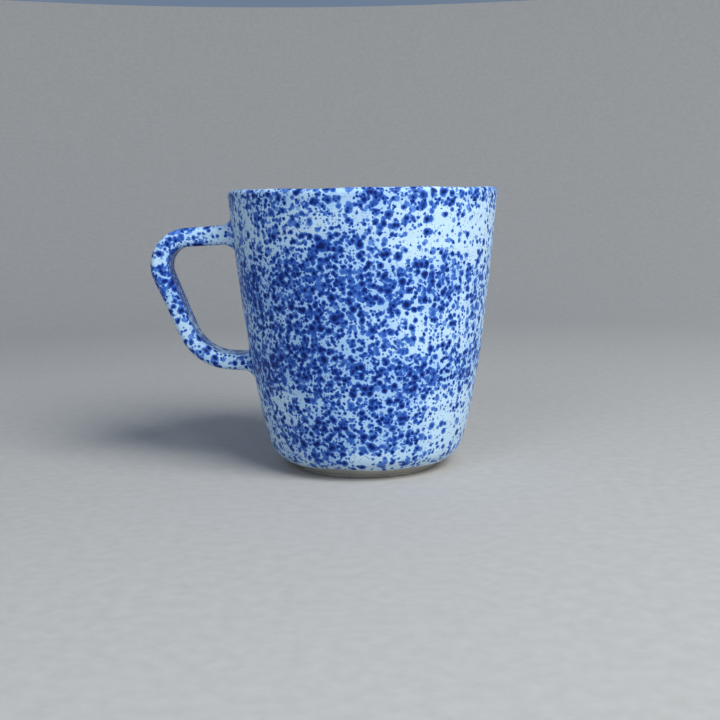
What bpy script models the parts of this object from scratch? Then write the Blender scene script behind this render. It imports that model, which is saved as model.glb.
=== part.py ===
"""Hand-thrown ceramic mug with a pulled strap handle, as its separate physical pieces.

Metres, +Z up. The origin is the centre of the flat foot, and the handle points along -X.
The clay vessel and the clay strap are joined by two pads of luting clay. Three fired
glaze coats cover them: one outside and over the lip, one inside, one around the handle.
"""
import math

import bmesh
import bpy

# Driving dimensions of the glazed mug.
MUG_HEIGHT = 0.0916
FOOT_RADIUS = 0.0240
FLOOR_HEIGHT = 0.0062
LIP_THICKNESS = 0.0038
WALL_THICKNESS_LOW = 0.0054
INNER_CORNER_RADIUS = 0.0120
LINER_TOP_HEIGHT = 0.0860
FOOT_EDGE = 0.0004

# Height and radius of the glazed outside, from the glaze line up to the shoulder of the lip.
WALL_STATIONS = (
    (0.0036, 0.0286),
    (0.0060, 0.0312),
    (0.0100, 0.0328),
    (0.0200, 0.0352),
    (0.0400, 0.0386),
    (0.0600, 0.0410),
    (0.0800, 0.0431),
    (0.0897, 0.0440),
)

# The strap handle, measured over its glaze.
STRAP_WIDTH = 0.0140
STRAP_THICKNESS_TOP = 0.0066
STRAP_THICKNESS_END = 0.0053
STRAP_EDGE_RADIUS = 0.0021
UPPER_ARM_HEIGHT = 0.0777
LOWER_ARM_HEIGHT = 0.0354
UPPER_BEND = (-0.0708, 0.0763)
LOWER_BEND = (-0.0551, 0.0364)
UPPER_BEND_RADIUS = 0.0095
LOWER_BEND_RADIUS = 0.0165

# The clay joints at the handle's two ends.
JOINT_DEPTH = 0.0030
JOINT_FILLET = 0.0026

# Coats and clearances.
GLAZE = 0.0005
GAP = 0.0003
CLAY_INSET = GLAZE + GAP

# Facets.
TURN_STEPS = 48
RING_CROWDING = 1.6
OUTSIDE_RINGS = 12
INSIDE_RINGS = 6
LIP_STEPS = 6
CORNER_STEPS = 5
BEND_STEPS = 24
STRAP_CORNER_STEPS = 3
STRAP_RING_SPACING = 0.0034


def clear_scene():
    for scene_object in list(bpy.data.objects):
        bpy.data.objects.remove(scene_object, do_unlink=True)


def ceramic(name, colour, roughness):
    material = bpy.data.materials.new(name)
    material.use_nodes = True
    shader = material.node_tree.nodes["Principled BSDF"]
    shader.inputs["Base Color"].default_value = (*colour, 1.0)
    shader.inputs["Roughness"].default_value = roughness
    shader.inputs["Metallic"].default_value = 0.0
    return material


def add_object(name, bm, material):
    bmesh.ops.recalc_face_normals(bm, faces=bm.faces)
    mesh = bpy.data.meshes.new(name)
    bm.to_mesh(mesh)
    bm.free()
    mesh.materials.append(material)
    mesh.shade_smooth()
    mesh.set_sharp_from_angle(angle=math.radians(35.0))
    piece = bpy.data.objects.new(name, mesh)
    bpy.context.scene.collection.objects.link(piece)
    return piece


# ---------------------------------------------------------------- the turned vessel


def outside_radius(height):
    """Radius of the glazed outside: a smooth curve through the stations."""
    last = len(WALL_STATIONS) - 1
    index = 0
    while index < last - 1 and height > WALL_STATIONS[index + 1][0]:
        index += 1
    low, high = WALL_STATIONS[index], WALL_STATIONS[index + 1]
    span = high[0] - low[0]
    share = (height - low[0]) / span
    slope_low = station_slope(index) * span
    slope_high = station_slope(index + 1) * span
    square, cube = share ** 2, share ** 3
    return ((2 * cube - 3 * square + 1) * low[1] + (cube - 2 * square + share) * slope_low
            + (3 * square - 2 * cube) * high[1] + (cube - square) * slope_high)


def station_slope(index):
    below = WALL_STATIONS[max(index - 1, 0)]
    above = WALL_STATIONS[min(index + 1, len(WALL_STATIONS) - 1)]
    return (above[1] - below[1]) / (above[0] - below[0])


def inside_radius(height):
    """Radius of the glazed inside: the wall thins from the floor to the lip."""
    share = (height - FLOOR_HEIGHT) / (MUG_HEIGHT - FLOOR_HEIGHT)
    return outside_radius(height) - (WALL_THICKNESS_LOW + (LIP_THICKNESS - WALL_THICKNESS_LOW) * share)


def clay_radius(height):
    return outside_radius(height) - CLAY_INSET


def outside_skin():
    """The glazed outside from the glaze line up, over the round lip, to the liner's top."""
    bottom = WALL_STATIONS[0][0]
    shoulder = MUG_HEIGHT - LIP_THICKNESS / 2
    points = []
    for ring in range(OUTSIDE_RINGS + 1):
        height = bottom + (shoulder - bottom) * (ring / OUTSIDE_RINGS) ** RING_CROWDING
        points.append((outside_radius(height), height))
    middle = outside_radius(shoulder) - LIP_THICKNESS / 2
    for step in range(1, LIP_STEPS + 1):
        angle = math.pi * step / LIP_STEPS
        points.append((middle + LIP_THICKNESS / 2 * math.cos(angle),
                       shoulder + LIP_THICKNESS / 2 * math.sin(angle)))
    points.append((inside_radius(LINER_TOP_HEIGHT), LINER_TOP_HEIGHT))
    return points


def inside_skin():
    """The glazed inside from the liner's top down the wall, round the corner, to the axis."""
    top = LINER_TOP_HEIGHT - GAP
    corner_height = FLOOR_HEIGHT + INNER_CORNER_RADIUS
    points = []
    for ring in range(INSIDE_RINGS + 1):
        height = top + (corner_height - top) * ring / INSIDE_RINGS
        points.append((inside_radius(height), height))
    middle = inside_radius(corner_height) - INNER_CORNER_RADIUS
    for step in range(1, CORNER_STEPS + 1):
        angle = -math.pi / 2 * step / CORNER_STEPS
        points.append((middle + INNER_CORNER_RADIUS * math.cos(angle),
                       corner_height + INNER_CORNER_RADIUS * math.sin(angle)))
    points.append((0.0, FLOOR_HEIGHT))
    return points


def inset(points, depth):
    """The profile moved into the clay by depth, square to itself. An axis point stays on the axis."""
    moved = []
    for index, (radius, height) in enumerate(points):
        before = points[max(index - 1, 0)]
        after = points[min(index + 1, len(points) - 1)]
        along = (after[0] - before[0], after[1] - before[1])
        length = math.hypot(*along)
        if radius == 0.0:
            moved.append((0.0, height - depth))
        else:
            moved.append((radius - depth * along[1] / length, height + depth * along[0] / length))
    return moved


def turned(name, profile, material):
    """A closed profile of (radius, height) points turned about the Z axis."""
    bm = bmesh.new()
    chain = [bm.verts.new((radius, 0.0, height)) for radius, height in profile]
    edges = [bm.edges.new(pair) for pair in zip(chain, chain[1:])]
    if profile[0][0] > 0.0:
        edges.append(bm.edges.new((chain[-1], chain[0])))
    bmesh.ops.spin(bm, geom=chain + edges, cent=(0.0, 0.0, 0.0), axis=(0.0, 0.0, 1.0),
                   angle=math.tau, steps=TURN_STEPS, use_merge=False, use_duplicate=False)
    bmesh.ops.remove_doubles(bm, verts=bm.verts, dist=0.000001)
    return add_object(name, bm, material)


def make_mug_body(material):
    """The clay vessel, with its flat foot, bevelled and bare below the glaze line."""
    clay_skin = inset(outside_skin() + inside_skin(), CLAY_INSET)
    foot = [(0.0, 0.0), (FOOT_RADIUS - FOOT_EDGE, 0.0), (FOOT_RADIUS, FOOT_EDGE / 2)]
    return turned("mug_body", foot + clay_skin, material)


def make_outer_glaze(material):
    skin = outside_skin()
    return turned("outer_glaze", skin + inset(skin, GLAZE)[::-1], material)


def make_inner_glaze(material):
    skin = inside_skin()
    return turned("inner_glaze", skin[::-1] + inset(skin, GLAZE), material)


# ---------------------------------------------------------------- the handle


def rounded_route():
    """Closely spaced points in the XZ plane along the strap's middle, its two bends as arcs."""
    ends = [(-clay_radius(UPPER_ARM_HEIGHT) - GAP, UPPER_ARM_HEIGHT),
            (-clay_radius(LOWER_ARM_HEIGHT) - GAP, LOWER_ARM_HEIGHT)]
    points = [ends[0]]
    points += bend_arc(ends[0], UPPER_BEND, LOWER_BEND, UPPER_BEND_RADIUS)
    points += bend_arc(UPPER_BEND, LOWER_BEND, ends[1], LOWER_BEND_RADIUS)
    points.append(ends[1])
    return points


def bend_arc(start, corner, end, radius):
    """An arc that rounds the corner between two straight runs, every few degrees."""
    arrive = unit(corner[0] - start[0], corner[1] - start[1])
    leave = unit(end[0] - corner[0], end[1] - corner[1])
    turn = math.acos(arrive[0] * leave[0] + arrive[1] * leave[1])
    side = math.copysign(1.0, arrive[0] * leave[1] - arrive[1] * leave[0])
    reach = radius * math.tan(turn / 2)
    first = (corner[0] - arrive[0] * reach, corner[1] - arrive[1] * reach)
    middle = (first[0] - side * arrive[1] * radius, first[1] + side * arrive[0] * radius)
    spoke = (first[0] - middle[0], first[1] - middle[1])
    arc = []
    for step in range(BEND_STEPS + 1):
        angle = side * turn * step / BEND_STEPS
        arc.append((middle[0] + spoke[0] * math.cos(angle) - spoke[1] * math.sin(angle),
                    middle[1] + spoke[0] * math.sin(angle) + spoke[1] * math.cos(angle)))
    return arc


def unit(x, z):
    length = math.hypot(x, z)
    return x / length, z / length


ROUTE = rounded_route()
RUNS = [math.dist(*pair) for pair in zip(ROUTE, ROUTE[1:])]
ROUTE_LENGTH = sum(RUNS)


def on_route(distance):
    """The point on the strap's middle at a distance from its upper end, and the way it heads."""
    index = 0
    while index < len(RUNS) - 1 and distance > RUNS[index]:
        distance -= RUNS[index]
        index += 1
    start, end = ROUTE[index], ROUTE[index + 1]
    heading = unit(end[0] - start[0], end[1] - start[1])
    return (start[0] + heading[0] * distance, start[1] + heading[1] * distance), heading


def strap_thickness(distance):
    """The pulled strap is thickest where it leaves the wall above, and soon thins."""
    left = 1.0 - distance / ROUTE_LENGTH
    return STRAP_THICKNESS_END + (STRAP_THICKNESS_TOP - STRAP_THICKNESS_END) * left ** 3


def strap_outline(distance, grow):
    """Rounded rectangle of the strap's section, as (across, outward) points, grown all round."""
    radius = STRAP_EDGE_RADIUS + grow
    across = STRAP_WIDTH / 2 + grow - radius
    outward = strap_thickness(distance) / 2 + grow - radius
    outline = []
    for corner, (side_y, side_out) in enumerate(((1, 1), (-1, 1), (-1, -1), (1, -1))):
        for step in range(STRAP_CORNER_STEPS + 1):
            angle = math.pi / 2 * (corner + step / STRAP_CORNER_STEPS)
            outline.append((side_y * across + radius * math.cos(angle),
                            side_out * outward + radius * math.sin(angle)))
    return outline


def joint_flare(distance):
    """How far the section flares at a distance from the nearer end: a round fillet."""
    nearness = 1.0 - min(distance, ROUTE_LENGTH - distance) / (JOINT_DEPTH - GAP)
    if nearness <= 0.0:
        return 0.0
    return JOINT_FILLET * (1.0 - math.sqrt(1.0 - min(nearness, 1.0) ** 2))


def strap_ring(distance, grow, scale=1.0):
    """One section of the strap. Towards either end it bends to follow the round clay wall."""
    (centre_x, centre_z), heading = on_route(distance)
    from_end = min(distance, ROUTE_LENGTH - distance)
    bend = max(0.0, 1.0 - from_end / (JOINT_DEPTH - GAP))
    ring = []
    for across, outward in strap_outline(distance, grow + joint_flare(distance)):
        x = centre_x + heading[1] * outward * scale
        y = across * scale
        z = centre_z - heading[0] * outward * scale
        on_wall = -math.sqrt(clay_radius(z) ** 2 - y ** 2) - GAP - from_end
        ring.append((x + (on_wall - x) * bend, y, z))
    return ring


def joint_distances():
    """Distances from the wall of a clay joint's rings, closest together where it flares."""
    depth = JOINT_DEPTH - GAP
    return [0.0, depth * 0.15, depth * 0.45, depth]


def strap_distances(start):
    """Evenly spaced ring distances from start to the same distance before the other end."""
    count = round((ROUTE_LENGTH - 2 * start) / STRAP_RING_SPACING)
    return [start + (ROUTE_LENGTH - 2 * start) * step / count for step in range(count + 1)]


def lofted(name, rings, material, closed=False):
    """Rings of equal count joined by quads, with flat ends, or closed into a loop."""
    bm = bmesh.new()
    loops = [[bm.verts.new(point) for point in ring] for ring in rings]
    pairs = list(zip(loops, loops[1:]))
    if closed:
        pairs.append((loops[-1], loops[0]))
    else:
        bm.faces.new(loops[0])
        bm.faces.new(loops[-1])
    for near, far in pairs:
        for index in range(len(near)):
            after = (index + 1) % len(near)
            bm.faces.new((near[index], near[after], far[after], far[index]))
    return add_object(name, bm, material)


def make_handle(material):
    """The clay strap, from one clay joint to the other."""
    rings = [strap_ring(distance, -CLAY_INSET) for distance in strap_distances(JOINT_DEPTH)]
    return lofted("handle", rings, material)


def make_slip_joint(name, at_upper_end, material):
    """A pad of luting clay: its base follows the wall, its face is flat against the strap."""
    base = [strap_ring(0.0 if at_upper_end else ROUTE_LENGTH, -CLAY_INSET, scale)
            for scale in (0.25, 0.65)]
    rings = []
    for distance in joint_distances():
        rings.append(strap_ring(distance if at_upper_end else ROUTE_LENGTH - distance, -CLAY_INSET))
    return lofted(name, base + rings, material)


def make_handle_glaze(material):
    """The glaze sleeve around the strap and both clay joints, open where it meets the wall."""
    depth = JOINT_DEPTH - GAP
    near = joint_distances()[:-1]
    far = [ROUTE_LENGTH - distance for distance in reversed(near)]
    distances = near + strap_distances(depth) + far
    outer = [strap_ring(distance, 0.0) for distance in distances]
    inner = [strap_ring(distance, -GLAZE) for distance in reversed(distances)]
    return lofted("handle_glaze", outer + inner, material, closed=True)


def cut_handle_opening(glaze, name, distance, height):
    """An opening through the outside glaze, where a clay joint stands on the clay wall."""
    outline = strap_outline(distance, JOINT_FILLET + GAP)
    rings = [[(x, across, height + outward) for across, outward in outline]
             for x in (-clay_radius(height) + 0.012, -clay_radius(height) - 0.012)]
    cutter = lofted(name, rings, glaze.data.materials[0])
    cutter.hide_render = True
    cutter.display_type = "WIRE"
    opening = glaze.modifiers.new(name, "BOOLEAN")
    opening.operation = "DIFFERENCE"
    opening.solver = "EXACT"
    opening.object = cutter


def make_mug():
    clear_scene()
    clay = ceramic("bare_clay", (0.36, 0.34, 0.31), 0.85)
    strap_clay = ceramic("strap_clay", (0.38, 0.35, 0.31), 0.85)
    upper_slip = ceramic("upper_slip", (0.42, 0.39, 0.35), 0.90)
    lower_slip = ceramic("lower_slip", (0.42, 0.39, 0.35), 0.90)
    outside_coat = ceramic("spattered_glaze", (0.42, 0.52, 0.72), 0.30)
    inside_coat = ceramic("liner_glaze", (0.70, 0.78, 0.84), 0.25)
    handle_coat = ceramic("handle_glaze_coat", (0.42, 0.52, 0.72), 0.30)

    make_mug_body(clay)
    make_handle(strap_clay)
    make_slip_joint("upper_slip_joint", True, upper_slip)
    make_slip_joint("lower_slip_joint", False, lower_slip)
    outer_glaze = make_outer_glaze(outside_coat)
    cut_handle_opening(outer_glaze, "upper_opening_cutter", 0.0, UPPER_ARM_HEIGHT)
    cut_handle_opening(outer_glaze, "lower_opening_cutter", ROUTE_LENGTH, LOWER_ARM_HEIGHT)
    make_inner_glaze(inside_coat)
    make_handle_glaze(handle_coat)


make_mug()
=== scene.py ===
"""Hand-thrown ceramic mug with a cobalt-spattered glaze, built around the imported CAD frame."""
import math

import bmesh
import bpy
from mathutils import Matrix, Vector, noise


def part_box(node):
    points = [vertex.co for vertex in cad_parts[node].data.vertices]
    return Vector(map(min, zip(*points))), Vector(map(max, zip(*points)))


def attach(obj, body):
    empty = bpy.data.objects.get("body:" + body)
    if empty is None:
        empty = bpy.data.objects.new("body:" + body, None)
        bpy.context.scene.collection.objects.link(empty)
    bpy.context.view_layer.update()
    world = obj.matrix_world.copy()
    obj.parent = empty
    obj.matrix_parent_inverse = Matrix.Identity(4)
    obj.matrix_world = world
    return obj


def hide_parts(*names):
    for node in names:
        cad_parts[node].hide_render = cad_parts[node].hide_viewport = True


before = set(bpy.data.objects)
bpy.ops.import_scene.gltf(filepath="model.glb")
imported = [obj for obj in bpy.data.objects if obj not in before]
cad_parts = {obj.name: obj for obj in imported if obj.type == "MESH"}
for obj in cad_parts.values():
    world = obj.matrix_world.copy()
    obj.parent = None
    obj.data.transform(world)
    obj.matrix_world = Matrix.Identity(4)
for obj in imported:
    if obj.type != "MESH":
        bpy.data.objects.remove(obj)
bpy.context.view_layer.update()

glaze_low, glaze_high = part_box("outer_glaze")
liner_low, liner_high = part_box("inner_glaze")

# ---------------------------------------------------------------- sizes, in metres

RIM_RADIUS = glaze_high.y
MUG_HEIGHT = glaze_high.z
GLAZE_LINE = glaze_low.z
LINER_TOP = liner_high.z
GLAZE = 0.0005
CLAY_INSET = GLAZE * 0.9      # the clay meets the glaze a little inside its back
FLOOR_HEIGHT = liner_low.z + GLAZE
FOOT_RADIUS = 0.0240
FOOT_EDGE_RADIUS = 0.0009
LIP_THICKNESS = 0.0038
LIP_SQUARENESS = 0.76      # 1 is a half round lip, and less is squarer
WALL_THICKNESS_LOW = 0.0054
INNER_CORNER_RADIUS = 0.0120

# The rounded bead in which the outer glaze ends above the foot.
BEAD = 0.00022
BEAD_WIDTH = 0.00055

# The unevenness of hand work: it grows from nothing above the foot, and the lip waves most.
STEADY_HEIGHT = 0.004
FULL_SWELL_RISE = 0.020
FULL_SWELL_RADIUS = 0.020
LIP_WAVE_START = 0.6 * MUG_HEIGHT
LINE_WANDER_REACH = 0.0011

# Height and radius of the glazed outside, from the glaze line to the shoulder of the lip.
WALL_STATIONS = (
    (GLAZE_LINE, 0.0286),
    (0.0060, 0.0312),
    (0.0100, 0.0328),
    (0.0200, 0.0352),
    (0.0400, 0.0386),
    (0.0600, 0.0410),
    (0.0800, 0.0431),
    (MUG_HEIGHT - LIP_THICKNESS / 2, RIM_RADIUS),
)

# The strap handle, over its glaze.
STRAP_WIDTH = 0.0140
STRAP_THICKNESS_TOP = 0.0066
STRAP_THICKNESS_END = 0.0053
STRAP_EDGE_RADIUS = 0.0021
UPPER_ARM_HEIGHT = 0.0777
LOWER_ARM_HEIGHT = 0.0354
UPPER_BEND = (-0.0708, 0.0763)
LOWER_BEND = (-0.0551, 0.0364)
UPPER_BEND_RADIUS = 0.0095
LOWER_BEND_RADIUS = 0.0165
FILLET_DEPTH = 0.0032

# The glaze is thicker round the outside of the upper bend, this far along the strap.
BEND_SWELL = 0.0005
BEND_SWELL_PLACE = 0.0260
BEND_SWELL_REACH = 0.0100

# Mesh density.
TURN_STEPS = 320
WALL_RINGS = 130
LIP_STEPS = 20
LIP_INSIDE_RINGS = 4
CORNER_STEPS = 24
FLOOR_RINGS = 12
FOOT_RINGS = 10
FOOT_EDGE_STEPS = 5
STRAP_SPACING = 0.0006
STRAP_CORNER_STEPS = 7
STRAP_FLAT_STEPS = (8, 3)
FILLET_STEPS = 14
BEND_STEPS = 48
SHARP_EDGE = math.radians(40.0)


# ---------------------------------------------------------------- node helper


class Nodes:
    """Adds shader nodes to a material and links them, one short call each."""

    def __init__(self, name):
        self.material = bpy.data.materials.new(name)
        self.material.use_nodes = True
        self.tree = self.material.node_tree
        self.tree.nodes.clear()
        output = self.tree.nodes.new("ShaderNodeOutputMaterial")
        self.shader = self.tree.nodes.new("ShaderNodeBsdfPrincipled")
        self.tree.links.new(self.shader.outputs["BSDF"], output.inputs["Surface"])

    def add(self, kind, inputs=(), **settings):
        node = self.tree.nodes.new(kind)
        for key, value in settings.items():
            setattr(node, key, value)
        for key, value in dict(inputs).items():
            self.feed(node.inputs[key], value)
        return node

    def feed(self, socket, value):
        if isinstance(value, bpy.types.NodeSocket):
            self.tree.links.new(value, socket)
        else:
            socket.default_value = value

    def place(self):
        """The point being shaded, in the piece's own metres."""
        return self.add("ShaderNodeTexCoord").outputs["Object"]

    def math(self, operation, first, second=0.0):
        node = self.add("ShaderNodeMath", {0: first, 1: second}, operation=operation)
        return node.outputs[0]

    def smooth(self, value, low, high, out_low=0.0, out_high=1.0):
        """value from low to high becomes out_low to out_high along a smooth step."""
        node = self.add("ShaderNodeMapRange",
                        {"Value": value, "From Min": low, "From Max": high,
                         "To Min": out_low, "To Max": out_high},
                        interpolation_type="SMOOTHSTEP")
        return node.outputs["Result"]

    def scaled(self, value, factor, plus):
        """value * factor + plus"""
        node = self.add("ShaderNodeMath", {0: value, 1: factor, 2: plus}, operation="MULTIPLY_ADD")
        return node.outputs[0]

    def vector(self, operation, first, second=(0.0, 0.0, 0.0), scale=1.0):
        node = self.add("ShaderNodeVectorMath", {0: first, 1: second, 3: scale}, operation=operation)
        return node.outputs["Value" if operation in ("DOT_PRODUCT", "DISTANCE") else "Vector"]

    def dot(self, first, second):
        return self.vector("DOT_PRODUCT", first, second)

    def noise(self, vector, size, detail=2.0, roughness=0.5):
        """The outputs of a noise whose features are about size metres across."""
        node = self.add("ShaderNodeTexNoise", {"Vector": vector, "Scale": 1.0 / size,
                                               "Detail": detail, "Roughness": roughness})
        return node.outputs

    def blend(self, share, first, second):
        """Colour first, with share of colour second over it. Sockets 6, 7 and 2 are the colour ones."""
        node = self.add("ShaderNodeMix", {"Factor": share}, data_type="RGBA")
        self.feed(node.inputs[6], first)
        self.feed(node.inputs[7], second)
        return node.outputs[2]

    def ramp(self, value, stops):
        node = self.add("ShaderNodeValToRGB", {"Fac": value})
        elements = node.color_ramp.elements
        while len(elements) < len(stops):
            elements.new(0.5)
        for element, (position, colour) in zip(elements, stops):
            element.position = position
            element.color = (*colour, 1.0)
        return node.outputs["Color"]

    def bump(self, height, strength, distance):
        node = self.add("ShaderNodeBump", {"Height": height, "Strength": strength, "Distance": distance})
        return node.outputs["Normal"]


# ---------------------------------------------------------------- materials


# Colour of the glaze by how thick the cobalt lies in it, from none to three films deep.
COBALT_RAMP = (
    (0.000, (0.500, 0.670, 0.810)),
    (0.060, (0.340, 0.540, 0.780)),
    (0.170, (0.110, 0.240, 0.600)),
    (0.290, (0.032, 0.112, 0.435)),
    (0.420, (0.011, 0.057, 0.310)),
    (0.620, (0.001, 0.015, 0.160)),
    (1.000, (0.0003, 0.006, 0.085)),
)
SPECK_COLOUR = (0.095, 0.165, 0.28, 1.0)
GRAIN_COLOUR = (0.24, 0.36, 0.52, 1.0)

# How many films of cobalt the ramp above spans.
FILMS_DEEP = 3.0

# Where a drop's film and its dark heart fade out and are full, from 0 at its middle to 1 at its rim.
FILM_FADE = (1.0, 0.70)
HEART_FADE = (0.66, 0.12)

# Each drop of a spray draws its radius from this share of the largest up to the largest, and its
# film from the palest up by the spread. The paler drops have no heart.
SMALLEST_DROP = 0.62
PALEST_FILM = 0.52
FILM_SPREAD = 0.45
HEART_SPREAD = 1.3
HEARTLESS = 0.30

# Sprays of drops, coarse to fine: largest radius, spacing of the cells, share of them that hold a
# drop under full spray, depth of the dark hearts, shift that sets it apart, and the cells read.
SPRAYS = (
    (0.00172, 0.0031, 0.58, 2.50, (0.11, 0.07, 0.03), ("F1", "F2")),
    (0.00152, 0.0028, 0.72, 2.30, (0.31, 0.17, 0.23), ("F1", "F2")),
    (0.00130, 0.0024, 0.84, 2.10, (0.05, 0.41, 0.13), ("F1", "F2")),
    (0.00112, 0.0021, 0.88, 1.80, (0.53, 0.29, 0.37), ("F1", "F2")),
    (0.00094, 0.0018, 0.86, 1.50, (0.27, 0.53, 0.77), ("F1", "F2")),
    (0.00070, 0.0014, 0.75, 1.20, (0.71, 0.61, 0.47), ("F1",)),
    (0.00052, 0.0012, 0.70, 1.00, (0.83, 0.43, 0.59), ("F1",)),
)
SPECKS = (0.00036, 0.00105, 0.75, 0.0, (0.19, 0.91, 0.67), ("F1",))

# The drops that stand out on the near wall: angle round the mug, height, radius and depth.
BLOTS = (
    (-64, 0.0820, 0.00150, 2.2),
    (-64, 0.0782, 0.00145, 2.2),
    (-46, 0.0830, 0.00100, 1.6),
    (-80, 0.0836, 0.00150, 1.6),
    (-107, 0.0747, 0.00210, 1.9),
    (-76, 0.0711, 0.00160, 1.5),
    (-74, 0.0636, 0.00150, 1.9),
    (-71, 0.0610, 0.00130, 1.5),
    (-72, 0.0567, 0.00180, 2.6),
    (-80, 0.0610, 0.00150, 1.5),
    (-103, 0.0530, 0.00200, 2.1),
    (-59, 0.0426, 0.00150, 1.8),
    (-46, 0.0499, 0.00120, 1.5),
    (-93, 0.0052, 0.00135, 3.4),
)


class Cobalt:
    """Gathers drops that overlap: their films merge into one, and their dark hearts add up."""

    def __init__(self, nodes, place):
        self.nodes = nodes
        self.place = place
        self.normal = nodes.add("ShaderNodeNewGeometry").outputs["Normal"]
        self.clear = None
        self.hearts = None

    def lay(self, edge, present, strength, depth):
        """Adds a drop. edge is 0 at its middle and 1 at its rim; strength and depth tint it."""
        nodes = self.nodes
        cover = nodes.math("MULTIPLY", nodes.smooth(edge, *FILM_FADE), present)
        heart = nodes.math("MULTIPLY", nodes.smooth(edge, *HEART_FADE), present)
        gap = nodes.math("SUBTRACT", 1.0, nodes.math("MULTIPLY", cover, strength))
        heart = nodes.math("MULTIPLY", heart, depth)
        if self.clear is None:
            self.clear, self.hearts = gap, heart
        else:
            self.clear = nodes.math("MULTIPLY", self.clear, gap)
            self.hearts = nodes.math("ADD", self.hearts, heart)

    def spray(self, amount, radius, spacing, share, depth, offset, features):
        """Round drops up to radius all over the surface, their share of the cells set by amount.

        Each cell of space holds one ball, and the drop is where the surface cuts it. Reading the
        two nearest balls lets drops overlap and keep their round edges.
        """
        nodes = self.nodes
        moved = nodes.vector("ADD", self.place, offset)
        threshold = nodes.math("MULTIPLY", amount, share)
        for feature in features:
            cells = nodes.add("ShaderNodeTexVoronoi",
                              {"Vector": moved, "Scale": 1.0 / spacing, "Randomness": 0.9},
                              voronoi_dimensions="3D", feature=feature, distance="EUCLIDEAN")
            dice = nodes.add("ShaderNodeSeparateColor", {"Color": cells.outputs["Color"]}).outputs
            ball = nodes.vector("SUBTRACT", cells.outputs["Position"], moved)
            below = nodes.dot(ball, self.normal)
            below = nodes.math("MULTIPLY", below, below)
            across = nodes.math("SUBTRACT", nodes.dot(ball, ball), below)
            size = nodes.scaled(dice["Green"], (1.0 - SMALLEST_DROP) * radius, SMALLEST_DROP * radius)
            cut = nodes.math("SUBTRACT", nodes.math("MULTIPLY", size, size), below)
            cut = nodes.math("MAXIMUM", cut, 1e-12)
            edge = nodes.math("SQRT", nodes.math("DIVIDE", across, cut))
            present = nodes.smooth(nodes.math("SUBTRACT", threshold, dice["Red"]), -0.01, 0.01)
            strength = nodes.scaled(dice["Blue"], FILM_SPREAD, PALEST_FILM)
            heart = nodes.scaled(dice["Blue"], HEART_SPREAD * depth, -HEARTLESS * depth)
            heart = nodes.math("MAXIMUM", heart, 0.0)
            self.lay(edge, present, strength, heart)

    def blot(self, angle, height, radius, depth):
        """One drop that landed on the outside wall at an angle and a height."""
        turn = math.radians(angle)
        reach = outside_radius(height)
        centre = (reach * math.cos(turn), reach * math.sin(turn), height)
        gap = self.nodes.vector("DISTANCE", self.place, centre)
        self.lay(self.nodes.math("DIVIDE", gap, radius), 1.0, 1.0, depth)


def spattered_glaze(name, blots, smoothest, roughest):
    """Pale blue-white satin glaze, spattered with overlapping cobalt drops from specks to blots."""
    nodes = Nodes(name)
    place = nodes.place()
    wander = nodes.noise(place, 0.0012, 2.0)["Color"]
    wander = nodes.vector("SCALE", nodes.vector("SUBTRACT", wander, (0.5, 0.5, 0.5)), scale=0.0007)
    ragged = nodes.vector("ADD", place, wander)
    amount = nodes.add("ShaderNodeAttribute", attribute_name="spatter").outputs["Fac"]

    cobalt = Cobalt(nodes, ragged)
    for spray in SPRAYS:
        cobalt.spray(amount, *spray)
    for blot in blots:
        cobalt.blot(*blot)
    specks = Cobalt(nodes, ragged)
    specks.spray(1.0, *SPECKS)

    # The films merge, mottled, over a mist that is too fine to see as drops.
    film = nodes.math("SUBTRACT", 1.0, cobalt.clear)
    mottle = nodes.noise(place, 0.0014, 3.0)["Fac"]
    film = nodes.math("MULTIPLY", film, nodes.smooth(mottle, 0.25, 0.75, 0.80, 1.10))
    mist = nodes.smooth(nodes.math("ADD", amount, nodes.scaled(mottle, 0.5, -0.25)), 0.35, 1.0, 0.0, 0.22)
    film = nodes.math("ADD", film, mist)
    thickness = nodes.math("ADD", film, cobalt.hearts)
    colour = nodes.ramp(nodes.math("MULTIPLY", thickness, 1.0 / FILMS_DEEP), COBALT_RAMP)

    # Specks and a fine pale grain show where the cobalt is thin.
    dust = nodes.math("MULTIPLY", nodes.scaled(specks.clear, -0.80, 0.80), cobalt.clear)
    colour = nodes.blend(dust, colour, SPECK_COLOUR)
    grain = nodes.noise(place, 0.0005, 3.0, 0.7)["Fac"]
    bare = nodes.smooth(thickness, 0.0, 0.8, 0.16, 0.03)
    colour = nodes.blend(nodes.math("MULTIPLY", nodes.smooth(grain, 0.35, 0.75), bare), colour, GRAIN_COLOUR)
    nodes.feed(nodes.shader.inputs["Base Color"], colour)

    patchy = nodes.noise(place, 0.006, 3.0)["Fac"]
    nodes.feed(nodes.shader.inputs["Roughness"], nodes.smooth(patchy, 0.3, 0.7, smoothest, roughest))
    nodes.shader.inputs["IOR"].default_value = 1.5
    nodes.shader.inputs["Specular IOR Level"].default_value = 0.14
    peel = nodes.noise(place, 0.0030, 2.0)["Fac"]
    relief = nodes.math("ADD", peel, nodes.math("MULTIPLY", grain, 0.12))
    nodes.feed(nodes.shader.inputs["Normal"], nodes.bump(relief, 0.35, 0.0002))
    return nodes.material


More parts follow.
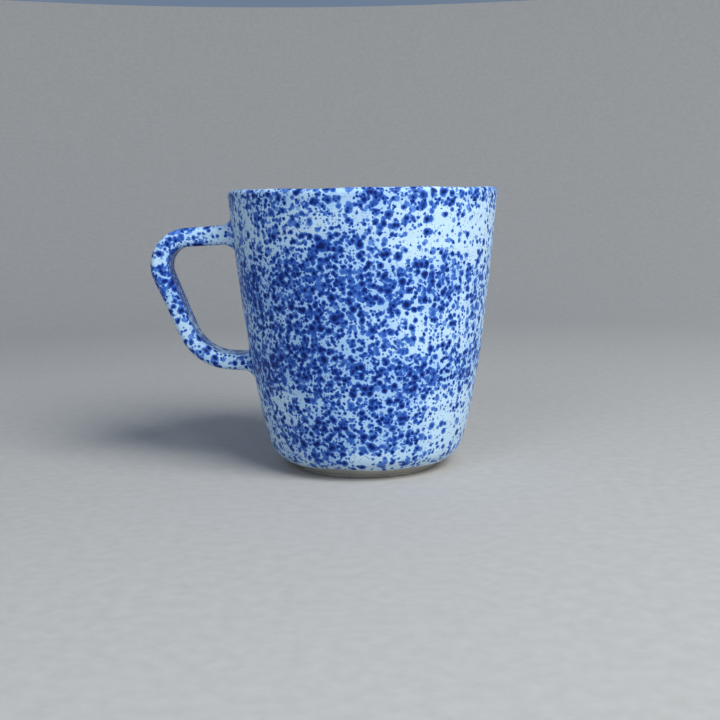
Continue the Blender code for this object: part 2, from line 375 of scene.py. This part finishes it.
def bare_clay():
    """Unglazed fired stoneware: grey, matt and finely gritty, with darker and paler grains."""
    nodes = Nodes("bare_clay")
    place = nodes.place()
    cloud = nodes.noise(place, 0.008, 4.0)["Fac"]
    colour = nodes.ramp(cloud, (
        (0.30, (0.33, 0.325, 0.30)),
        (0.70, (0.42, 0.41, 0.38)),
    ))
    grains = nodes.add("ShaderNodeTexVoronoi", {"Vector": place, "Scale": 1.0 / 0.0011},
                       voronoi_dimensions="3D", feature="F1")
    speck = nodes.smooth(grains.outputs["Distance"], 0.28, 0.16)
    mixed = nodes.blend(nodes.math("MULTIPLY", speck, 0.5), colour, (0.16, 0.14, 0.12, 1.0))
    nodes.feed(nodes.shader.inputs["Base Color"], mixed)
    nodes.feed(nodes.shader.inputs["Roughness"], nodes.smooth(cloud, 0.3, 0.7, 0.78, 0.92))
    grit = nodes.noise(place, 0.0006, 3.0, 0.7)["Fac"]
    nodes.feed(nodes.shader.inputs["Normal"], nodes.bump(grit, 0.6, 0.0002))
    return nodes.material


# ---------------------------------------------------------------- the thrown vessel


def station_slope(index):
    below = WALL_STATIONS[max(index - 1, 0)]
    above = WALL_STATIONS[min(index + 1, len(WALL_STATIONS) - 1)]
    return (above[1] - below[1]) / (above[0] - below[0])


def outside_radius(height):
    """Radius of the glazed outside: a smooth curve through the stations."""
    last = len(WALL_STATIONS) - 1
    index = 0
    while index < last - 1 and height > WALL_STATIONS[index + 1][0]:
        index += 1
    low, high = WALL_STATIONS[index], WALL_STATIONS[index + 1]
    span = high[0] - low[0]
    share = (height - low[0]) / span
    slope_low = station_slope(index) * span
    slope_high = station_slope(index + 1) * span
    square, cube = share ** 2, share ** 3
    return ((2 * cube - 3 * square + 1) * low[1] + (cube - 2 * square + share) * slope_low
            + (3 * square - 2 * cube) * high[1] + (cube - square) * slope_high)


def inside_radius(height):
    share = (height - FLOOR_HEIGHT) / (MUG_HEIGHT - FLOOR_HEIGHT)
    return outside_radius(height) - (WALL_THICKNESS_LOW + (LIP_THICKNESS - WALL_THICKNESS_LOW) * share)


def hand_swell(angle, height):
    """How far the thrown wall strays from a true round: slow lobes and faint throwing rings."""
    lobes = 0.00010 * math.cos(2 * angle + 0.6) + 0.00007 * math.cos(3 * angle + 2.1)
    rings = 0.00004 * math.sin(height * 1150.0 + angle) + 0.00003 * math.sin(height * 520.0 - angle + 1.0)
    drift = 0.00012 * noise.noise(Vector((math.cos(angle), math.sin(angle), height * 40.0)))
    return lobes * height / MUG_HEIGHT + rings + drift


def rim_lift(angle):
    """How far the lip rises and dips around the rim."""
    return (0.00016 * math.sin(2 * angle + 0.4) + 0.00012 * math.sin(5 * angle + 1.9)
            + 0.00007 * math.sin(11 * angle + 0.7))


def line_wander(angle, height):
    """How far the glaze line strays up and down, which dies away within 2 or 3 mm of it."""
    wave = 0.00020 * math.sin(3 * angle + 0.8) + 0.00013 * math.sin(7 * angle + 2.3)
    return wave * math.exp(-((height - GLAZE_LINE) / LINE_WANDER_REACH) ** 2)


def turned_point(radius, height, angle):
    """A point of the vessel, with the unevenness of hand work. The foot stays flat."""
    grown = min(max((height - STEADY_HEIGHT) / FULL_SWELL_RISE, 0.0), 1.0)
    grown *= min(radius / FULL_SWELL_RADIUS, 1.0)
    high = min(max((height - LIP_WAVE_START) / (MUG_HEIGHT - LIP_WAVE_START), 0.0), 1.0)
    reach = radius + hand_swell(angle, height) * grown
    lift = rim_lift(angle) * high ** 2 + line_wander(angle, height)
    return (reach * math.cos(angle), reach * math.sin(angle), height + lift)


def outside_skin():
    """The glazed outside from the glaze line up, over the round lip, to the liner's top."""
    shoulder = MUG_HEIGHT - LIP_THICKNESS / 2
    points = []
    for ring in range(WALL_RINGS + 1):
        height = GLAZE_LINE + (shoulder - GLAZE_LINE) * (ring / WALL_RINGS) ** 1.25
        bead = BEAD * math.exp(-((height - GLAZE_LINE - BEAD_WIDTH) / BEAD_WIDTH) ** 2)
        points.append((outside_radius(height) + bead, height))
    middle = outside_radius(shoulder) - LIP_THICKNESS / 2
    for step in range(1, LIP_STEPS + 1):
        angle = math.pi * step / LIP_STEPS
        across = math.copysign(abs(math.cos(angle)) ** LIP_SQUARENESS, math.cos(angle))
        points.append((middle + LIP_THICKNESS / 2 * across,
                       shoulder + LIP_THICKNESS / 2 * math.sin(angle) ** LIP_SQUARENESS))
    for step in range(1, LIP_INSIDE_RINGS + 1):
        height = shoulder + (LINER_TOP - shoulder) * step / LIP_INSIDE_RINGS
        points.append((inside_radius(height), height))
    return points


def inside_skin():
    """The glazed inside from the liner's top down the wall, round the corner, to the axis."""
    corner_height = FLOOR_HEIGHT + INNER_CORNER_RADIUS
    rings = WALL_RINGS // 2
    points = []
    for ring in range(rings + 1):
        height = LINER_TOP + (corner_height - LINER_TOP) * ring / rings
        points.append((inside_radius(height), height))
    middle = inside_radius(corner_height) - INNER_CORNER_RADIUS
    for step in range(1, CORNER_STEPS + 1):
        angle = -math.pi / 2 * step / CORNER_STEPS
        points.append((middle + INNER_CORNER_RADIUS * math.cos(angle),
                       corner_height + INNER_CORNER_RADIUS * math.sin(angle)))
    for step in range(1, FLOOR_RINGS + 1):
        points.append((middle * (1.0 - step / FLOOR_RINGS), FLOOR_HEIGHT))
    return points


def foot_profile():
    """The flat bare foot from the axis out, and round its edge."""
    points = [((FOOT_RADIUS - FOOT_EDGE_RADIUS) * step / FOOT_RINGS, 0.0) for step in range(FOOT_RINGS + 1)]
    for step in range(1, FOOT_EDGE_STEPS + 1):
        angle = math.pi / 2 * step / FOOT_EDGE_STEPS
        points.append((FOOT_RADIUS - FOOT_EDGE_RADIUS * (1.0 - math.sin(angle)),
                       FOOT_EDGE_RADIUS * (1.0 - math.cos(angle))))
    return points


def inset(points, depth):
    """The profile moved into the clay by depth, square to itself. An axis point stays on the axis."""
    moved = []
    for index, (radius, height) in enumerate(points):
        before = points[max(index - 1, 0)]
        after = points[min(index + 1, len(points) - 1)]
        along = (after[0] - before[0], after[1] - before[1])
        length = math.hypot(*along)
        if radius == 0.0:
            moved.append((0.0, height - depth))
        else:
            moved.append((radius - depth * along[1] / length, height + depth * along[0] / length))
    return moved


def turned(name, profile, material):
    """A closed solid from a profile of (radius, height) points turned about the Z axis."""
    bm = bmesh.new()
    rings = []
    for radius, height in profile:
        if radius == 0.0:
            rings.append([bm.verts.new((0.0, 0.0, height))])
        else:
            rings.append([bm.verts.new(turned_point(radius, height, math.tau * step / TURN_STEPS))
                          for step in range(TURN_STEPS)])
    pairs = list(zip(rings, rings[1:]))
    if len(rings[0]) > 1:
        pairs.append((rings[-1], rings[0]))
    for near, far in pairs:
        for step in range(TURN_STEPS):
            after = (step + 1) % TURN_STEPS
            corners = [near[step % len(near)], near[after % len(near)],
                       far[after % len(far)], far[step % len(far)]]
            bm.faces.new(list(dict.fromkeys(corners)))
    return add_piece(name, bm, material)


def add_piece(name, bm, material):
    """Makes an object of the mesh, smooth but for its sharp edges, and puts it on the mug's body."""
    bmesh.ops.recalc_face_normals(bm, faces=bm.faces)
    mesh = bpy.data.meshes.new(name)
    bm.to_mesh(mesh)
    bm.free()
    mesh.materials.append(material)
    mesh.shade_smooth()
    mesh.set_sharp_from_angle(angle=SHARP_EDGE)
    piece = bpy.data.objects.new(name, mesh)
    bpy.context.scene.collection.objects.link(piece)
    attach(piece, "root")
    return piece


# ---------------------------------------------------------------- the strap handle


def unit(x, z):
    length = math.hypot(x, z)
    return x / length, z / length


def bend_arc(start, corner, end, radius):
    """An arc that rounds the corner between two straight runs."""
    arrive = unit(corner[0] - start[0], corner[1] - start[1])
    leave = unit(end[0] - corner[0], end[1] - corner[1])
    turn = math.acos(arrive[0] * leave[0] + arrive[1] * leave[1])
    side = math.copysign(1.0, arrive[0] * leave[1] - arrive[1] * leave[0])
    reach = radius * math.tan(turn / 2)
    first = (corner[0] - arrive[0] * reach, corner[1] - arrive[1] * reach)
    middle = (first[0] - side * arrive[1] * radius, first[1] + side * arrive[0] * radius)
    spoke = (first[0] - middle[0], first[1] - middle[1])
    arc = []
    for step in range(BEND_STEPS + 1):
        angle = side * turn * step / BEND_STEPS
        arc.append((middle[0] + spoke[0] * math.cos(angle) - spoke[1] * math.sin(angle),
                    middle[1] + spoke[0] * math.sin(angle) + spoke[1] * math.cos(angle)))
    return arc


def strap_route():
    """Points along the strap's middle, from the wall above, round both bends, to the wall below."""
    top = (-outside_radius(UPPER_ARM_HEIGHT), UPPER_ARM_HEIGHT)
    bottom = (-outside_radius(LOWER_ARM_HEIGHT), LOWER_ARM_HEIGHT)
    upper_bend = bend_arc(top, UPPER_BEND, LOWER_BEND, UPPER_BEND_RADIUS)
    lower_bend = bend_arc(UPPER_BEND, LOWER_BEND, bottom, LOWER_BEND_RADIUS)
    return [top] + upper_bend + lower_bend + [bottom]


ROUTE = strap_route()
RUNS = [math.dist(*pair) for pair in zip(ROUTE, ROUTE[1:])]
ROUTE_LENGTH = sum(RUNS)


def on_route(distance):
    """The point on the strap's middle at a distance from its upper end, and the way it heads."""
    index = 0
    while index < len(RUNS) - 1 and distance > RUNS[index]:
        distance -= RUNS[index]
        index += 1
    start, end = ROUTE[index], ROUTE[index + 1]
    heading = unit(end[0] - start[0], end[1] - start[1])
    return (start[0] + heading[0] * distance, start[1] + heading[1] * distance), heading


def strap_thickness(distance):
    """The pulled strap is thickest where it leaves the wall above, and soon thins."""
    left = 1.0 - distance / ROUTE_LENGTH
    return STRAP_THICKNESS_END + (STRAP_THICKNESS_TOP - STRAP_THICKNESS_END) * left ** 3


def strap_outline(distance, grow):
    """Rounded rectangle of the strap's section, as (across, outward) points, grown all round."""
    radius = STRAP_EDGE_RADIUS + grow
    across = STRAP_WIDTH / 2 + grow - radius
    outward = strap_thickness(distance) / 2 + grow - radius
    outline = []
    corners = ((1, 1), (-1, 1), (-1, -1), (1, -1))
    for corner, (side_y, side_out) in enumerate(corners):
        for step in range(STRAP_CORNER_STEPS + 1):
            angle = math.pi / 2 * (corner + step / STRAP_CORNER_STEPS)
            outline.append((side_y * across + radius * math.cos(angle),
                            side_out * outward + radius * math.sin(angle)))
        last = outline[-1]
        next_y, next_out = corners[(corner + 1) % 4]
        angle = math.pi / 2 * (corner + 1)
        target = (next_y * across + radius * math.cos(angle), next_out * outward + radius * math.sin(angle))
        flat_steps = STRAP_FLAT_STEPS[corner % 2]
        for step in range(1, flat_steps):
            share = step / flat_steps
            outline.append((last[0] + (target[0] - last[0]) * share, last[1] + (target[1] - last[1]) * share))
    return outline


def wall_x(y, z):
    """Where the glazed outside stands at the handle's side of the vessel."""
    angle = math.pi - math.asin(min(max(y / outside_radius(z), -1.0), 1.0))
    return turned_point(outside_radius(z), z, angle)[0]


def strap_ring(distance, grow):
    """One section of the strap. Towards either end it flares and bends onto the round wall."""
    (centre_x, centre_z), heading = on_route(distance)
    from_end = min(distance, ROUTE_LENGTH - distance)
    nearness = max(0.0, 1.0 - from_end / FILLET_DEPTH)
    flare = FILLET_DEPTH * (1.0 - math.sqrt(1.0 - nearness ** 2))
    bend = max(0.0, 1.0 - from_end / (2 * FILLET_DEPTH))
    bend = bend * bend * (3 - 2 * bend)
    swell = BEND_SWELL * math.exp(-((distance - BEND_SWELL_PLACE) / BEND_SWELL_REACH) ** 2)
    ring = []
    for y, outward in strap_outline(distance, grow + flare):
        outward += swell if outward > 0.0 and grow == 0.0 else 0.0
        x = centre_x + heading[1] * outward
        z = centre_z - heading[0] * outward
        on_wall = wall_x(y, z) - from_end
        ring.append((x + (on_wall - x) * bend, y, z))
    return ring


def strap_distances():
    """Ring distances from one wall to the other, crowded where the fillets flare."""
    near = [FILLET_DEPTH * (1.0 - math.cos(math.pi / 2 * step / FILLET_STEPS))
            for step in range(FILLET_STEPS)]
    span = ROUTE_LENGTH - 2 * FILLET_DEPTH
    count = round(span / STRAP_SPACING)
    middle = [FILLET_DEPTH + span * step / count for step in range(count + 1)]
    return near + middle + [ROUTE_LENGTH - distance for distance in reversed(near)]


def handle_coat(material):
    """The glaze sleeve around the clay strap, flowing onto the wall at both ends."""
    bm = bmesh.new()
    distances = strap_distances()
    rings = [strap_ring(distance, 0.0) for distance in distances]
    rings += [strap_ring(distance, -GLAZE) for distance in reversed(distances)]
    loops = [[bm.verts.new(point) for point in ring] for ring in rings]
    for near, far in zip(loops, loops[1:] + loops[:1]):
        for index in range(len(near)):
            after = (index + 1) % len(near)
            bm.faces.new((near[index], near[after], far[after], far[index]))
    return add_piece("handle_glaze_coat", bm, material)


# ---------------------------------------------------------------- how thick the spatter lies

# Bands of heavy spray, laid while the mug turned: height, half width and how much more.
SPRAY_BANDS = (
    (0.0360, 0.0060, 0.42),
    (0.0620, 0.0080, 0.24),
    (0.0885, 0.0030, 0.30),
)

# Where the handle caught more or less spray: distance out from the axis, height, reach, how much more.
HANDLE_PATCHES = (
    (0.0650, 0.0608, 0.0038, 0.40),
    (0.0622, 0.0535, 0.0034, 0.40),
    (0.0680, 0.0672, 0.0044, -0.50),
    (0.0599, 0.0480, 0.0034, -0.70),
    (0.0570, 0.0410, 0.0040, 0.10),
    (0.0450, 0.0360, 0.0100, -0.95),
    (0.0520, 0.0775, 0.0060, 0.10),
)

# Where the spray was heavier or lighter: angle round the mug, height, reach and how much more.
SPRAY_PATCHES = (
    (-108, 0.056, 0.020, 0.34),
    (-95, 0.074, 0.009, 0.32),
    (-108, 0.022, 0.013, 0.30),
    (-78, 0.023, 0.009, 0.26),
    (-80, 0.012, 0.007, 0.20),
    (-110, 0.010, 0.008, 0.24),
    (-53, 0.065, 0.007, 0.28),
    (-140, 0.060, 0.012, 0.28),
    (-66, 0.032, 0.006, 0.20),
    (-64, 0.077, 0.009, -0.34),
    (-42, 0.080, 0.010, -0.28),
    (-24, 0.080, 0.012, -0.22),
    (-66, 0.051, 0.006, -0.32),
    (-46, 0.055, 0.004, -0.22),
    (-28, 0.052, 0.007, 0.16),
    (-14, 0.062, 0.007, -0.20),
    (-46, 0.025, 0.007, -0.26),
    (-34, 0.026, 0.005, 0.12),
    (-44, 0.014, 0.007, -0.24),
    (-14, 0.018, 0.014, -0.28),
    (-150, 0.083, 0.007, -0.26),
    (-110, 0.081, 0.004, -0.16),
    (-162, 0.052, 0.006, -0.20),
    (-162, 0.020, 0.012, -0.10),
    (-140, 0.026, 0.005, -0.15),
    (-93, 0.0055, 0.0040, -0.50),
    (-128, 0.009, 0.008, 0.25),
    (-150, 0.014, 0.007, 0.18),
    (-38, 0.048, 0.006, -0.10),
)


# The spray that fell everywhere, and how far slow and quick drifts of it stray from that.
EVEN_SPRAY = 0.50
SLOW_DRIFT = 0.24
QUICK_DRIFT = 0.36
SLOW_PER_METRE = 55.0
QUICK_PER_METRE = 150.0
LEAST_SPRAY = 0.11

# Just above the glaze line nearly none of it stayed, and inside the mug it thins out below the lip.
WIPED_SHARE = 0.95
WIPED_HEIGHT = 0.0016
STRAY_SHARE = 0.07
LIP_SPRAY_DEPTH = 0.0075

# How much more spray the handle's inner face has: partly real denser drops, and partly painted shade, since
# that face looks onto the wall and lies in its shade.
INNER_FACE_SPRAY_AND_SHADE = 0.35


def patch(point, centre, reach, more):
    """What one patch adds to the spray at a point. Beyond twice its reach it adds nothing."""
    gap = (point - centre).length / reach
    return more * math.exp(-gap * gap) if gap < 2.0 else 0.0


def spray_amount(point):
    """Share of the drops that landed at a point, 0 to 1."""
    slow = noise.noise(point * SLOW_PER_METRE + Vector((3.1, 7.7, 1.3)))
    quick = noise.noise(point * QUICK_PER_METRE + Vector((9.2, 0.4, 5.8)))
    amount = EVEN_SPRAY + SLOW_DRIFT * slow + QUICK_DRIFT * quick
    for height, width, more in SPRAY_BANDS:
        amount += more * math.exp(-((point.z - height) / width) ** 2)
    for angle, height, reach, more in SPRAY_PATCHES:
        turn = math.radians(angle)
        radius = outside_radius(height)
        centre = Vector((radius * math.cos(turn), radius * math.sin(turn), height))
        amount += patch(point, centre, reach, more)
    for out, height, reach, more in HANDLE_PATCHES:
        amount += patch(point, Vector((-out, 0.0, height)), reach, more)
    amount *= 1.0 - WIPED_SHARE * math.exp(-max(point.z - GLAZE_LINE, 0.0) / WIPED_HEIGHT)
    amount = min(max(amount, LEAST_SPRAY), 1.0)
    lip_middle = outside_radius(min(point.z, MUG_HEIGHT - LIP_THICKNESS / 2)) - LIP_THICKNESS / 2
    if math.hypot(point.x, point.y) < lip_middle:
        amount = inside_amount(amount, MUG_HEIGHT - point.z)
    return amount


def inside_amount(amount, depth):
    """Inside the mug the drops thin out below the lip, to a few strays further down."""
    return amount * (STRAY_SHARE + (1.0 - STRAY_SHARE) * math.exp(-(depth / LIP_SPRAY_DEPTH) ** 2))


def record_spray(piece, facing_wall_spray_and_shade=0.0):
    """Stores the spray at every vertex, with more of it, by the given share, where the skin looks to +X onto
    the wall: partly denser drops and partly painted shade.
    """
    layer = piece.data.attributes.new("spatter", "FLOAT", "POINT")
    values = [spray_amount(vertex.co) + facing_wall_spray_and_shade * max(vertex.normal.x, 0.0)
              for vertex in piece.data.vertices]
    layer.data.foreach_set("value", values)


# ---------------------------------------------------------------- the pieces


def make_pieces():
    """The glaze coats and the clay vessel in place of their CAD solids, and clay on the rest."""
    spatter = spattered_glaze("spattered_glaze", BLOTS, 0.32, 0.42)
    liner = spattered_glaze("liner_glaze", (), 0.22, 0.30)
    clay = bare_clay()

    skin = outside_skin()
    coat = turned("outer_glaze_coat", skin + inset(skin, GLAZE)[::-1], spatter)
    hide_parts("outer_glaze")
    record_spray(coat)

    inside = inside_skin()
    lining = turned("inner_glaze_coat", inside[::-1] + inset(inside, GLAZE), liner)
    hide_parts("inner_glaze")
    record_spray(lining)

    clay_skin = inset(skin + inside[1:], CLAY_INSET)
    vessel = turned("clay_vessel", foot_profile() + clay_skin, clay)
    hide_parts("mug_body")

    sleeve = handle_coat(spatter)
    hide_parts("handle_glaze")
    # More cobalt on the handle's inner face: partly denser drops, partly painted shade where it faces the
    # wall.
    record_spray(sleeve, INNER_FACE_SPRAY_AND_SHADE)

    for name in ("handle", "upper_slip_joint", "lower_slip_joint"):
        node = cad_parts[name]
        for material_slot in node.material_slots:
            material_slot.material = clay


# ---------------------------------------------------------------- camera, floor and light

CAMERA_DISTANCE = 4.0 * MUG_HEIGHT
CAMERA_HEIGHT = 0.942 * MUG_HEIGHT
CAMERA_LENS = 55.0
CAMERA_SENSOR = 36.0
CAMERA_PITCH = 7.99
CAMERA_YAW = -0.28
CAMERA_ROLL = 1.04

FLOOR_CENTRE = 0.15
FLOOR_FLAT = 0.45
FLOOR_BEND = 0.65
FLOOR_RISE = math.radians(60.0)
FLOOR_BEND_STEPS = 16
FLOOR_SPOKES = 96

# Lights: where they stand, their side, power and colour.
LIGHT_AIM = (0.0, 0.0, 0.045)
WINDOW = ((0.56, -0.66, 0.84), 0.7, 16.9, (0.95, 1.0, 1.02))
FILL = ((-0.50, -0.95, 0.75), 0.5, 2.6, (0.80, 0.95, 1.2))
AIR_COLOUR = (0.70, 0.94, 1.34, 1.0)
AIR_STRENGTH = 0.22


def make_camera():
    """A little below the rim's level, looking slightly down, a degree out of level."""
    camera = bpy.data.objects.new("camera", bpy.data.cameras.new("camera"))
    bpy.context.scene.collection.objects.link(camera)
    camera.data.lens = CAMERA_LENS
    camera.data.sensor_width = CAMERA_SENSOR
    camera.data.clip_start = 0.01
    level = Matrix.Rotation(math.radians(90.0 - CAMERA_PITCH), 4, "X")
    turn = Matrix.Rotation(math.radians(-CAMERA_YAW), 4, "Z")
    roll = Matrix.Rotation(math.radians(-CAMERA_ROLL), 4, "Z")
    place = Matrix.Translation((0.0, -CAMERA_DISTANCE, CAMERA_HEIGHT))
    camera.matrix_world = place @ turn @ level @ roll
    bpy.context.scene.camera = camera


def paper():
    """Pale matt paper with a faint fibre."""
    nodes = Nodes("paper")
    fibre = nodes.noise(nodes.place(), 0.004, 4.0)["Fac"]
    colour = nodes.ramp(fibre, (
        (0.3, (0.43, 0.405, 0.375)),
        (0.7, (0.47, 0.445, 0.415)),
    ))
    nodes.feed(nodes.shader.inputs["Base Color"], colour)
    nodes.shader.inputs["Roughness"].default_value = 0.9
    nodes.shader.inputs["Specular IOR Level"].default_value = 0.2
    return nodes.material


def make_floor():
    """A pale sheet of paper, flat under the mug, that sweeps up all round."""
    profile = [(FLOOR_CENTRE, 0.0), (FLOOR_FLAT, 0.0)]
    for step in range(1, FLOOR_BEND_STEPS + 1):
        angle = FLOOR_RISE * step / FLOOR_BEND_STEPS
        profile.append((FLOOR_FLAT + FLOOR_BEND * math.sin(angle), FLOOR_BEND * (1.0 - math.cos(angle))))
    bm = bmesh.new()
    rings = []
    for radius, height in profile:
        ring = []
        for step in range(FLOOR_SPOKES):
            angle = math.tau * step / FLOOR_SPOKES
            ring.append(bm.verts.new((radius * math.cos(angle), radius * math.sin(angle), height)))
        rings.append(ring)
    centre = bm.verts.new((0.0, 0.0, 0.0))
    for step in range(FLOOR_SPOKES):
        after = (step + 1) % FLOOR_SPOKES
        bm.faces.new((centre, rings[0][step], rings[0][after]))
        for near, far in zip(rings, rings[1:]):
            bm.faces.new((near[step], far[step], far[after], near[after]))
    mesh = bpy.data.meshes.new("floor")
    bm.to_mesh(mesh)
    bm.free()
    mesh.shade_smooth()
    mesh.materials.append(paper())
    floor = bpy.data.objects.new("floor", mesh)
    bpy.context.scene.collection.objects.link(floor)


def area_light(name, place, side, power, colour):
    """A square lamp that faces the mug."""
    light = bpy.data.lights.new(name, "AREA")
    light.shape = "SQUARE"
    light.size = side
    light.energy = power
    light.color = colour
    lamp = bpy.data.objects.new(name, light)
    lamp.location = place
    lamp.rotation_euler = (Vector(LIGHT_AIM) - Vector(place)).to_track_quat("-Z", "Y").to_euler()
    bpy.context.scene.collection.objects.link(lamp)


def make_light():
    """A soft window at the right and front, a weak fill from the left, and pale air."""
    area_light("window", *WINDOW)
    area_light("fill", *FILL)
    world = bpy.data.worlds.new("air")
    bpy.context.scene.world = world
    world.use_nodes = True
    background = world.node_tree.nodes["Background"]
    background.inputs["Color"].default_value = AIR_COLOUR
    background.inputs["Strength"].default_value = AIR_STRENGTH
    bpy.context.scene.view_settings.view_transform = "Standard"


make_pieces()
make_camera()
make_floor()
make_light()
